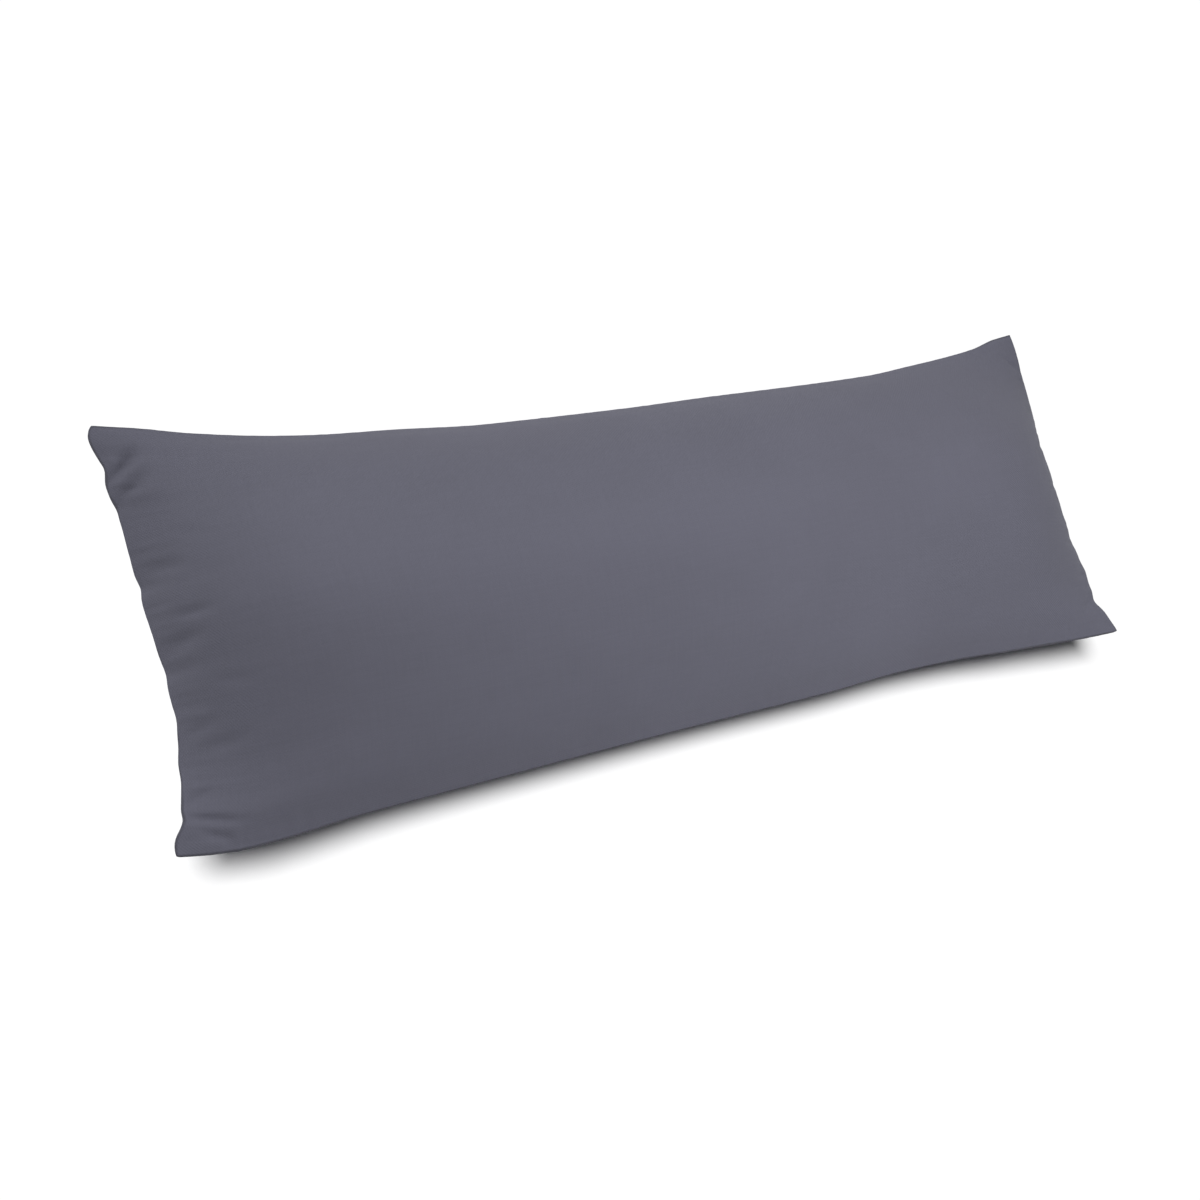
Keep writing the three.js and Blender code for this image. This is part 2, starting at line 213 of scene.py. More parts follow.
BACK_LEFT_PUCKERS = (
    PuckerRow(40, -4, 36, 2.6, 4.5, -0.9),
    PuckerRow(62, -2, 44, 1.4, 5, -0.2),
    PuckerRow(90, 0, 48, 1.5, 5.5, -0.1),
    PuckerRow(132, -3, 54, 2.2, 5.5, 0.1),
    PuckerRow(155, -4, 36, 1, 5, 0),
    PuckerRow(178, 2, 50, 1.8, 5, 0),
    PuckerRow(214, -4, 56, 2.2, 5.5, -0.1),
    PuckerRow(250, 0, 44, 1.4, 5, 0.15),
    PuckerRow(293, -5, 42, 2.6, 4.5, 0.5),
)
BACK_RIGHT_PUCKERS = (
    PuckerRow(36, -4, 36, 2.4, 4.5, -0.8),
    PuckerRow(70, 0, 46, 1.2, 5, -0.1),
    PuckerRow(96, -3, 50, 1.8, 5.5, 0.1),
    PuckerRow(128, -4, 38, 1.2, 5, 0),
    PuckerRow(160, 0, 56, 2.2, 5.5, -0.1),
    PuckerRow(205, -3, 46, 1.6, 5.5, 0.1),
    PuckerRow(244, 2, 52, 2, 5, -0.15),
    PuckerRow(288, -5, 40, 2.6, 4.5, 0.5),
)


def linear(hex_colour: str) -> tuple[float, float, float, float]:
    """Turn an sRGB hex colour to linear.

    Args:
        hex_colour: Six hex digits after a hash.

    Returns:
        Linear red, green and blue, and an alpha of 1.
    """
    channels = [int(hex_colour[k : k + 2], 16) / 255 for k in (1, 3, 5)]
    curved = [c / 12.92 if c <= 0.04045 else ((c + 0.055) / 1.055) ** 2.4 for c in channels]
    return (*curved, 1.0)


def curve_through(rows: Sequence[SeamRow], column: str, at: np.ndarray) -> np.ndarray:
    """Read one column of a table along a smooth curve that doesn't overshoot between its rows.

    Args:
        rows: The table, in order of its first column.
        column: Name of the column to read.
        at: Places to read it at.

    Returns:
        The column's value at each place.
    """
    x = np.array([row.at for row in rows])
    y = np.array([getattr(row, column) for row in rows], dtype=float)
    step = np.diff(x)
    rise = np.diff(y) / step
    slope = np.empty_like(y)
    slope[0], slope[-1] = rise[0], rise[-1]
    before, after = rise[:-1], rise[1:]
    near_before = 2 * step[1:] + step[:-1]
    near_after = step[1:] + 2 * step[:-1]
    same_way = before * after > 0
    safe_before = np.where(same_way, before, 1.0)
    safe_after = np.where(same_way, after, 1.0)
    mean = (near_before + near_after) / (near_before / safe_before + near_after / safe_after)
    slope[1:-1] = np.where(same_way, mean, 0.0)
    k = np.clip(np.searchsorted(x, at, side="right") - 1, 0, len(step) - 1)
    t = (at - x[k]) / step[k]
    ease = t * t * (3 - 2 * t)
    leave = t * (1 - t) ** 2
    arrive = t * t * (t - 1)
    value = y[k] * (1 - ease) + y[k + 1] * ease
    return value + step[k] * (slope[k] * leave + slope[k + 1] * arrive)


def bell(distance: np.ndarray, half_width: float) -> np.ndarray:
    """Return a soft bump of height 1 that has died out at about twice its half width."""
    return np.exp(-((distance / half_width) ** 2))


def climb(inward: np.ndarray, run: float, fullness: float) -> np.ndarray:
    """Return 0 at the seam, rising to 1 where a panel has come up to its full height."""
    return 1 - np.clip(1 - inward / run, 0, 1) ** fullness


@dataclass(frozen=True)
class EarValues:
    """One value for each of the four ears."""

    upper_left: float
    lower_left: float
    upper_right: float
    lower_right: float

    def at(self, is_left: np.ndarray, is_lower: np.ndarray) -> np.ndarray:
        """Give each place the value of its nearest ear.

        Args:
            is_left: Whether a place is in the left half.
            is_lower: Whether it is in the lower half.

        Returns:
            The value at each place.
        """
        left = np.where(is_lower, self.lower_left, self.upper_left)
        return np.where(is_left, left, np.where(is_lower, self.lower_right, self.upper_right))


@dataclass(frozen=True)
class PillowForm:
    """The filled shape, worked out from the same named sizes as the solid, in millimetres."""

    length: float = 900
    width: float = 327
    ear_height: float = 66
    crown_rise: float = 80
    crown_swell: float = 20
    crown_half_angle: float = 1.08
    crown_run: float = 165
    crown_fullness: float = 3.2
    ear_hollow_run: float = 85
    ear_hollow: EarValues = EarValues(
        upper_left=0.3, lower_left=0.6, upper_right=0.3, lower_right=0.4
    )
    patch_share: float = 0.46
    belly_half_angle: float = 1.36
    belly_run: float = 128
    belly_fullness: float = 2.5
    edge_ply: float = 1.5
    edge_ply_run: float = 6
    notch_run: float = 26
    wave_run: float = 34
    patch_ease: float = 3
    ear_radius: EarValues = EarValues(
        upper_left=4.5, lower_left=4, upper_right=2, lower_right=4.5
    )

    def gathered(
        self, gathers: Sequence[GatherRow], start: np.ndarray, column: str
    ) -> np.ndarray:
        """Sum one column of the gathers at places along their side.

        Args:
            gathers: The side's gathers.
            start: Places down the side from its upper ear.
            column: Name of the column to sum.

        Returns:
            The sum at each place.
        """
        total = np.zeros_like(start)
        for row in gathers:
            total += getattr(row, column) * bell(start - row.start, row.half_width)
        return total

    def puckered(
        self, puckers: Sequence[PuckerRow], start: np.ndarray, inward: np.ndarray
    ) -> np.ndarray:
        """Sum the depths of the puckers.

        Args:
            puckers: The puckers of one end of one panel.
            start: Places down the side from its upper ear.
            inward: Distances from the seam.

        Returns:
            The depth at each place.
        """
        depth = np.zeros_like(start)
        for row in puckers:
            share = np.clip((inward - row.begin) / (row.reach - row.begin), 0, 1)
            swell = np.sin(np.pi * share) ** 2
            beside = start - row.start - row.lean * inward
            depth += row.depth * swell * bell(beside, row.half_width)
        return depth

    def crown_across(self, across: np.ndarray) -> np.ndarray:
        """Return the height share of the crown: 0 on the long seams, 1 along the middle."""
        rim = math.cos(self.crown_half_angle)
        return (np.cos(self.crown_half_angle * across) - rim) / (1 - rim)

    def belly_across(self, across: np.ndarray) -> np.ndarray:
        """Read the belly's curve across the pillow.

        Args:
            across: Places across it, -1 on one long seam and 1 on the other.

        Returns:
            The depth share of the belly: 0 on the long seams, 1 over the flat patch.
        """
        to_patch = np.clip((np.abs(across) - self.patch_share) / (1 - self.patch_share), 0, 1)
        turned = np.sqrt(1 - (to_patch * math.sin(self.belly_half_angle)) ** 2)
        return 1 - (1 - turned) / (1 - math.cos(self.belly_half_angle))

    def panel_points(
        self, along: np.ndarray, up: np.ndarray, panel: Panel, has_puckers: bool = True
    ) -> np.ndarray:
        """Place points of a panel.

        Args:
            along: Shares of the length, from the left side.
            up: Shares of the width, from the lower side.
            panel: Which of the two panels.
            has_puckers: Whether the puckers are pressed in.

        Returns:
            The points, with x, y and z in the last axis.
        """
        left_x = -self.length / 2 + curve_through(LEFT_SEAM, "draw_in", up)
        right_x = self.length / 2 - curve_through(RIGHT_SEAM, "draw_in", up)
        lower_y = -self.width / 2 + curve_through(LOWER_SEAM, "draw_in", along)
        upper_y = self.width / 2 - curve_through(UPPER_SEAM, "draw_in", along)
        from_left = (right_x - left_x) * along
        from_right = (right_x - left_x) * (1 - along)
        from_lower = (upper_y - lower_y) * up
        from_upper = (upper_y - lower_y) * (1 - up)
        down_side = self.width * (1 - up)
        to_short = np.minimum(from_left, from_right)
        to_long = np.minimum(from_lower, from_upper)

        # Ears rounded in plan
        is_left = along < 0.5
        is_lower = up < 0.5
        radius = self.ear_radius.at(is_left, is_lower)
        ear_x = np.clip(1 - to_short / radius, 0, 1)
        ear_y = np.clip(1 - to_long / radius, 0, 1)
        in_ear = (ear_x > 0) & (ear_y > 0)
        plan_x = np.where(in_ear, radius * (1 - ear_x * np.sqrt(1 - ear_y**2 / 2)), to_short)
        plan_y = np.where(in_ear, radius * (1 - ear_y * np.sqrt(1 - ear_x**2 / 2)), to_long)

        # Gathers pulled in and lifted
        fade_left = np.exp(-from_left / self.notch_run)
        fade_right = np.exp(-from_right / self.notch_run)
        notch = self.gathered(LEFT_GATHERS, down_side, "notch") * fade_left
        notch = notch - self.gathered(RIGHT_GATHERS, down_side, "notch") * fade_right
        fade_left = np.exp(-from_left / self.wave_run)
        fade_right = np.exp(-from_right / self.wave_run)
        wave = self.gathered(LEFT_GATHERS, down_side, "wave") * fade_left
        wave = wave + self.gathered(RIGHT_GATHERS, down_side, "wave") * fade_right
        x = np.where(is_left, left_x + plan_x, right_x - plan_x) + notch
        y = np.where(is_lower, lower_y + plan_y, upper_y - plan_y)
        seam_z = (
            self.ear_height
            - (1 - along) * curve_through(LEFT_SEAM, "drop", up)
            - along * curve_through(RIGHT_SEAM, "drop", up)
            - (1 - up) * curve_through(LOWER_SEAM, "drop", along)
            - up * curve_through(UPPER_SEAM, "drop", along)
            + wave
        )
        across = 2 * up - 1
        ply = self.edge_ply * (1 - np.exp(-to_short / self.edge_ply_run))
        ply = ply * (1 - np.exp(-to_long / self.edge_ply_run))

        if panel is Panel.FRONT:
            ends = climb(from_left, self.crown_run, self.crown_fullness)
            ends = ends * climb(from_right, self.crown_run, self.crown_fullness)
            rise = self.crown_rise + self.crown_swell * np.sin(np.pi * along)
            hollow = self.ear_hollow.at(is_left, is_lower)
            hollow = hollow * bell(np.hypot(to_short, to_long), self.ear_hollow_run)
            crown = rise * self.crown_across(across) * ends * (1 - hollow)
            pucker = self.puckered(FRONT_LEFT_PUCKERS, down_side, from_left)
            pucker = pucker + self.puckered(FRONT_RIGHT_PUCKERS, down_side, from_right)
            z = seam_z + crown + ply - np.minimum(pucker, crown) * has_puckers
        else:
            ends = climb(from_left, self.belly_run, self.belly_fullness)
            ends = ends * climb(from_right, self.belly_run, self.belly_fullness)
            lift = 1 - self.belly_across(across) * ends
            belly = seam_z * (1 - lift)
            pucker = self.puckered(BACK_LEFT_PUCKERS, down_side, from_left)
            pucker = pucker + self.puckered(BACK_RIGHT_PUCKERS, down_side, from_right)
            shown = np.minimum(lift * self.patch_ease, 1)
            pucker = np.minimum(pucker, belly) * has_puckers
            z = np.maximum(seam_z - belly + (pucker - ply) * shown, 0)
        return np.stack([x, y, z], axis=-1)

    def middle(self) -> np.ndarray:
        """Measure where the middle of the form's box lies in plan.

        Returns:
            The middle, which the part has at its origin, with a height of 0.
        """
        share = np.linspace(0, 1, MIDDLE_SAMPLES)
        along, up = np.meshgrid(share, share, indexing="ij")
        points = self.panel_points(along, up, Panel.FRONT)
        low, high = points.min(axis=(0, 1)), points.max(axis=(0, 1))
        return np.array([(low[0] + high[0]) / 2, (low[1] + high[1]) / 2, 0])


@dataclass(frozen=True)
class ClothSettings:
    """How the cover settles over its filling, in the simulation's own units."""

    cells_along: int = 110
    cells_across: int = 42
    frames: int = 20
    quality: int = 6
    pressure: float = 10.0
    mass: float = 0.2
    air_damping: float = 10.0
    tension: float = 60.0
    compression: float = 40.0
    shear: float = 20.0
    bending: float = 0.4
    damping: float = 8.0
    filling_hold: float = 0.1  # how firmly the filling holds the cloth to its drawn place
    let_out: float = 0.06  # how much wider the cut panel is than its gathered short seam
    let_out_run: float = 90  # how far in from a short seam that width is taken up
    cap: float = 2.5  # the furthest that a point may move, in millimetres
    evening_passes: int = 6  # how often the moves are evened out, so that only soft dents stay
    patch_hold: float = 12.0  # width of the belt where the flat patch lets go of the cloth


@dataclass(frozen=True)
class SeamPress:
    """How the sewn edge is pressed: two rolled lips, and the turned-in allowance behind them."""

    groove: float = 1.2  # how far the seam line lies behind the lips
    groove_width: float = 0.6
    lip: float = 0.5  # how far each lip swells
    lip_at: float = 1.5
    lip_width: float = 1.2
    allowance: float = 10.0  # width of the turned-in cloth under each panel
    allowance_step: float = 0.45
    allowance_ease: float = 1.6
    ripple: float = 0.3  # height of the fine ripples that the stitching draws up
    ripple_pitch: float = 11.0
    ripple_shares: tuple[float, ...] = (0.62, 0.85, 1.0, 1.3, 1.75)  # pitches that are mixed
    ripple_mix: float = 2.2  # what their sum is divided by
    ripple_drift: float = 0.4  # the most that a ripple slants, in radians for each drift run
    drift_run: float = 10
    ripple_reach: float = 12.0
    gathered_ripple: float = 0.3  # the same along the gathered short seams
    gathered_reach: float = 22.0
    seed: int = 14


@dataclass(frozen=True)
class WovenCotton:
    """Closely woven, piece-dyed cotton: dull, slightly slubby, with a faint sheen at the edges."""

    name: str = "woven_cotton_dyed_slate"
    base: str = "#60606c"
    slub: str = "#6c6c7a"
    slub_show: float = 0.16  # share of the slub colour where a thread is thickest
    faded: str = "#6a6a78"
    mottle_show: float = 0.16
    # seam_shade is painted shade, laid along the seam groove
    seam_shade: str = "#52525c"
    thread_mm: float = 1.4  # nearly three times the real 0.5 mm pitch, so that it still shows
    slub_long_mm: float = 34.0
    slub_wide_mm: float = 1.9
    slub_range: tuple[float, float] = (0.36, 0.68)  # of the noise, from no slub to a full one
    slub_height: float = 0.35  # against the height of a crossing
    mottle_mm: float = 120.0
    mottle_range: tuple[float, float] = (0.35, 0.65)
    seam_shade_mm: tuple[float, float] = (0.7, 2.0)  # from the seam: full shade, and none
    roughness: float = 0.88
    specular: float = 0.2
    sheen: float = 0.04
    sheen_roughness: float = 0.5
    weave_depth_mm: float = 0.09

    def build(self) -> bpy.types.Material:
        """Make the material from the cover's own threads map and its distance from the seam.

        Returns:
            The material.
        """
        material = bpy.data.materials.new(self.name)
        material.use_nodes = True
        tree = material.node_tree
        shader = tree.nodes["Principled BSDF"]
        shader.inputs["Roughness"].default_value = self.roughness
        shader.inputs["Specular IOR Level"].default_value = self.specular
        shader.inputs["Sheen Weight"].default_value = self.sheen
        shader.inputs["Sheen Roughness"].default_value = self.sheen_roughness

        threads = add_node(tree, "ShaderNodeUVMap", {"uv_map": THREADS_MAP})
        place = add_node(tree, "ShaderNodeSeparateXYZ", inputs={0: threads.outputs["UV"]})
        warp, weft = place.outputs["X"], place.outputs["Y"]

        # Warp over weft and weft over warp in turn: one small swell for each crossing
        swells = []
        for run in (warp, weft):
            turn = add_node(
                tree,
                "ShaderNodeMath",
                {"operation": "MULTIPLY"},
                {0: run, 1: math.pi / (self.thread_mm * MM)},
            )
            swells.append(
                add_node(tree, "ShaderNodeMath", {"operation": "SINE"}, {0: turn.outputs[0]})
            )
        weave = add_node(
            tree,
            "ShaderNodeMath",
            {"operation": "MULTIPLY"},
            {0: swells[0].outputs[0], 1: swells[1].outputs[0]},
        )

        # Slubs: thicker stretches of single threads, along the warp and along the weft
        slubs = []
        for along_mm, across_mm in (
            (self.slub_long_mm, self.slub_wide_mm),
            (self.slub_wide_mm, self.slub_long_mm),
        ):
            stretched = add_node(
                tree,
                "ShaderNodeMapping",
                inputs={
                    "Vector": threads.outputs["UV"],
                    "Scale": (1 / (along_mm * MM), 1 / (across_mm * MM), 1),
                },
            )
            slubs.append(
                add_node(
                    tree,
                    "ShaderNodeTexNoise",
                    {"noise_dimensions": "2D"},
                    {"Vector": stretched.outputs[0], "Scale": 1.0, "Detail": 2.0},
                )
            )
        slub = add_node(
            tree,
            "ShaderNodeMix",
            {"data_type": "FLOAT"},
            {0: 0.5, 2: slubs[0].outputs["Fac"], 3: slubs[1].outputs["Fac"]},
        )
        slub_share = add_node(
            tree,
            "ShaderNodeMapRange",
            inputs=dict(enumerate((slub.outputs[0], *self.slub_range, 0.0, 1.0))),
        )
        slub_tint = add_node(
            tree,
            "ShaderNodeMath",
            {"operation": "MULTIPLY"},
            {0: slub_share.outputs[0], 1: self.slub_show},
        )
        dyed = add_node(
            tree,
            "ShaderNodeMix",
            {"data_type": "RGBA"},
            {0: slub_tint.outputs[0], 6: linear(self.base), 7: linear(self.slub)},
        )

        # Broad, faint unevenness of the dye
        mottle = add_node(
            tree,
            "ShaderNodeTexNoise",
            {"noise_dimensions": "2D"},
            {"Vector": threads.outputs["UV"], "Scale": 1 / (self.mottle_mm * MM), "Detail": 3.0},
        )
        mottle_share = add_node(
            tree,
            "ShaderNodeMapRange",
            inputs=dict(
                enumerate((mottle.outputs["Fac"], *self.mottle_range, 0.0, self.mottle_show))
            ),
        )
        uneven = add_node(
            tree,
            "ShaderNodeMix",
            {"data_type": "RGBA"},
            {0: mottle_share.outputs[0], 6: dyed.outputs[2], 7: linear(self.faded)},
        )

        # Painted shade: the colour darkens to seam_shade along the seam groove and its lips, where
        # shade falls
        from_seam = add_node(tree, "ShaderNodeAttribute", {"attribute_name": SEAM_DISTANCE})
        full, none = self.seam_shade_mm
        edge = add_node(
            tree,
            "ShaderNodeMapRange",
            {"interpolation_type": "SMOOTHSTEP"},
            dict(enumerate((from_seam.outputs["Fac"], full * MM, none * MM, 1.0, 0.0))),
        )
        coloured = add_node(
            tree,
            "ShaderNodeMix",
            {"data_type": "RGBA"},
            {0: edge.outputs[0], 6: uneven.outputs[2], 7: linear(self.seam_shade)},
        )
        tree.links.new(coloured.outputs[2], shader.inputs["Base Color"])

        height = add_node(
            tree,
            "ShaderNodeMath",
            {"operation": "MULTIPLY_ADD"},
            {0: slub_share.outputs[0], 1: self.slub_height, 2: weave.outputs[0]},
        )
        bump = add_node(
            tree,
            "ShaderNodeBump",
            inputs={
                "Strength": 1.0,
                "Distance": self.weave_depth_mm * MM,
                "Height": height.outputs[0],
            },
        )
        tree.links.new(bump.outputs[0], shader.inputs["Normal"])
        return material


@dataclass(frozen=True)
class SewingThread:
    """Spun polyester sewing thread, dyed to match: a little smoother and darker than the cloth."""

    name: str = "spun_polyester_thread_slate"
    base: str = "#56565f"
    roughness: float = 0.6
    ply_mm: float = 0.35
    ply_depth_mm: float = 0.05
    ply_show: float = 0.6
    wave_turn: float = 10  # radians that a diagonal wave texture turns through in a metre

    def build(self) -> bpy.types.Material:
        """Make the material, with the twist of the plies as fine slanting bands.

        Returns:
            The material.
        """
        material = bpy.data.materials.new(self.name)
        material.use_nodes = True
        tree = material.node_tree
        shader = tree.nodes["Principled BSDF"]
        shader.inputs["Base Color"].default_value = linear(self.base)
        shader.inputs["Roughness"].default_value = self.roughness
        place = add_node(tree, "ShaderNodeTexCoord")
        twist = add_node(
            tree,
            "ShaderNodeTexWave",
            {"bands_direction": "DIAGONAL"},
            {
                "Vector": place.outputs["Object"],
                "Scale": 2 * math.pi / (self.ply_mm * MM) / self.wave_turn,
                "Distortion": 0.5,
            },
        )
        bump = add_node(
            tree,
            "ShaderNodeBump",
            inputs={
                "Strength": self.ply_show,
                "Distance": self.ply_depth_mm * MM,
                "Height": twist.outputs["Fac"],
            },
        )
        tree.links.new(bump.outputs[0], shader.inputs["Normal"])
        return material


def add_node(
    tree: bpy.types.NodeTree,
    kind: str,
    settings: dict[str, object] | None = None,
    inputs: dict[str | int, object] | None = None,
) -> bpy.types.Node:
    """Add a node with its settings, values and links.

    Args:
        tree: The tree to add it to.
        kind: The node's type name.
        settings: Properties of the node.
        inputs: Input sockets by name or number, each with a value or a socket to link from.

    Returns:
        The new node.
    """
    node = tree.nodes.new(kind)
    for key, value in (settings or {}).items():
        setattr(node, key, value)
    for key, value in (inputs or {}).items():
        socket = node.inputs[key]
        if isinstance(value, bpy.types.NodeSocket):
            tree.links.new(value, socket)
        else:
            socket.default_value = value
    return node


def read_between(rows: np.ndarray, at: np.ndarray) -> np.ndarray:
    """Read evenly spaced rows of values along a smooth curve.

    Args:
        rows: Values, row by row.
        at: Places to read at, counted in rows.

    Returns:
        The values at each place.
    """
    last = len(rows) - 1
    k = np.clip(np.floor(at).astype(int), 0, last - 1)
    t = (at - k).reshape((-1,) + (1,) * (rows.ndim - 1))
    before, here = rows[np.maximum(k - 1, 0)], rows[k]
    there, after = rows[k + 1], rows[np.minimum(k + 2, last)]
    bend = 2 * before - 5 * here + 4 * there - after
    twist = 3 * here - before - 3 * there + after
    return here + 0.5 * t * (there - before + t * (bend + t * twist))


def evened(values: np.ndarray, passes: int) -> np.ndarray:
    """Even out values over a grid, keeping its rim.

    Args:
        values: One value or vector for each crossing.
        passes: How often each value is mixed with its neighbours.

    Returns:
        The evened values.
    """
    for _ in range(passes):
        for axis in (0, 1):
            rows = np.moveaxis(values, axis, 0).copy()
            rows[1:-1] = (rows[:-2] + 2 * rows[1:-1] + rows[2:]) / 4
            values = np.moveaxis(rows, 0, axis)
    return values


def rows_from_seam(
    length: float, first: Sequence[float], fine: float, coarse: float, reach: float
) -> np.ndarray:
    """Space rows between two seams: a few close ones at each, then fine, easing to coarse.

    Args:
        length: Distance between the seams.
        first: The close rows' distances from their seam.
        fine: Spacing near a seam.
        coarse: Spacing in the middle.
        reach: How far from a seam the fine spacing goes.

    Returns:
        Shares of the length, from 0 to 1.
    """
    rows = list(first)
    while rows[-1] < length / 2:
        ease = min(max(rows[-1] / reach - 1, 0), 1)
        rows.append(rows[-1] + fine + (coarse - fine) * ease)
    half = np.array(rows)
    tail = half > first[-1]
    half[tail] = first[-1] + (half[tail] - first[-1]) * (
        (length / 2 - first[-1]) / (half[-1] - first[-1])
    )
    return np.concatenate([half, length - half[-2::-1]]) / length


@dataclass
class PanelGrid:
    """Threads of both panels, crossing at given shares of the cut panel."""

    form: PillowForm
    s: np.ndarray  # along the panel
    r: np.ndarray  # across the panel
    hold_ends: int = 6  # powers by which the even spacing dies out towards the short seams
    hold_sides: int = 3  # and towards the long seams

    def plan(self, panel: Panel) -> tuple[np.ndarray, np.ndarray]:
        """Space the threads evenly over the panel's own curve.

        Args:
            panel: Which of the two panels.

        Returns:
            Where the threads cross, as shares of the length and of the width in plan.
        """
        fine = np.linspace(0, 1, CURVE_SAMPLES)
        half = np.full_like(fine, 0.5)
        evened = []
        for along, up, at in ((fine, half, self.s), (half, fine, self.r)):
            points = self.form.panel_points(along, up, panel)
            steps = np.linalg.norm(np.diff(points, axis=0), axis=-1)
            run = np.concatenate([[0], np.cumsum(steps)])
            evened.append(np.interp(at * run[-1], run, fine))
        s2, r2 = np.meshgrid(self.s, self.r, indexing="ij")
        into_length = 1 - np.abs(2 * s2 - 1) ** self.hold_ends
        into_width = 1 - np.abs(2 * r2 - 1) ** self.hold_sides
        along = s2 + (evened[0][:, None] - s2) * into_width
        up = r2 + (evened[1][None, :] - r2) * into_length
        return along, up

    def on_seam(self) -> np.ndarray:
        """Mark the crossings that the two panels share.

        Returns:
            True on the rim of the grid.
        """
        mark = np.zeros((len(self.s), len(self.r)), dtype=bool)
        mark[[0, -1], :] = True
        mark[:, [0, -1]] = True
        return mark

    def numbers(self) -> dict[Panel, np.ndarray]:
        """Number the mesh points of both panels, the seam's own first.

        Returns:
            The number of each crossing, panel by panel.
        """
        mark = self.on_seam()
        seam_count, inner_count = int(mark.sum()), int((~mark).sum())
        numbers = {}
        for k, panel in enumerate(Panel):
            own = np.empty(mark.shape, dtype=int)
            own[mark] = np.arange(seam_count)
            own[~mark] = seam_count + k * inner_count + np.arange(inner_count)
            numbers[panel] = own
        return numbers

    def gather(self, values: dict[Panel, np.ndarray]) -> np.ndarray:
        """List values of both panels point by point, as the mesh numbers them.

        Args:
            values: A value or vector for each crossing of each panel.

        Returns:
            One row for each mesh point.
        """
        numbers = self.numbers()
        count = max(int(own.max()) for own in numbers.values()) + 1
        sample = values[Panel.FRONT]
        listed = np.zeros((count,) + sample.shape[2:])
        for panel in (Panel.BACK, Panel.FRONT):
            listed[numbers[panel].ravel()] = values[panel].reshape((-1,) + sample.shape[2:])
        return listed

    def mesh(self, name: str, points: dict[Panel, np.ndarray]) -> bpy.types.Mesh:
        """Make the closed mesh of both panels.

        Args:
            name: Name of the mesh.
            points: Place of each crossing, in millimetres.

        Returns:
            The mesh, its faces pointing out.
        """
        numbers = self.numbers()
        faces = []
        for panel, own in numbers.items():
            corners = [own[:-1, :-1], own[1:, :-1], own[1:, 1:], own[:-1, 1:]]
            if panel is Panel.BACK:
                corners.reverse()
            faces.append(np.stack(corners, axis=-1).reshape(-1, 4))
        mesh = bpy.data.meshes.new(name)
        mesh.from_pydata((self.gather(points) * MM).tolist(), [], np.concatenate(faces).tolist())
        mesh.shade_smooth()
        mesh.update()
        return mesh


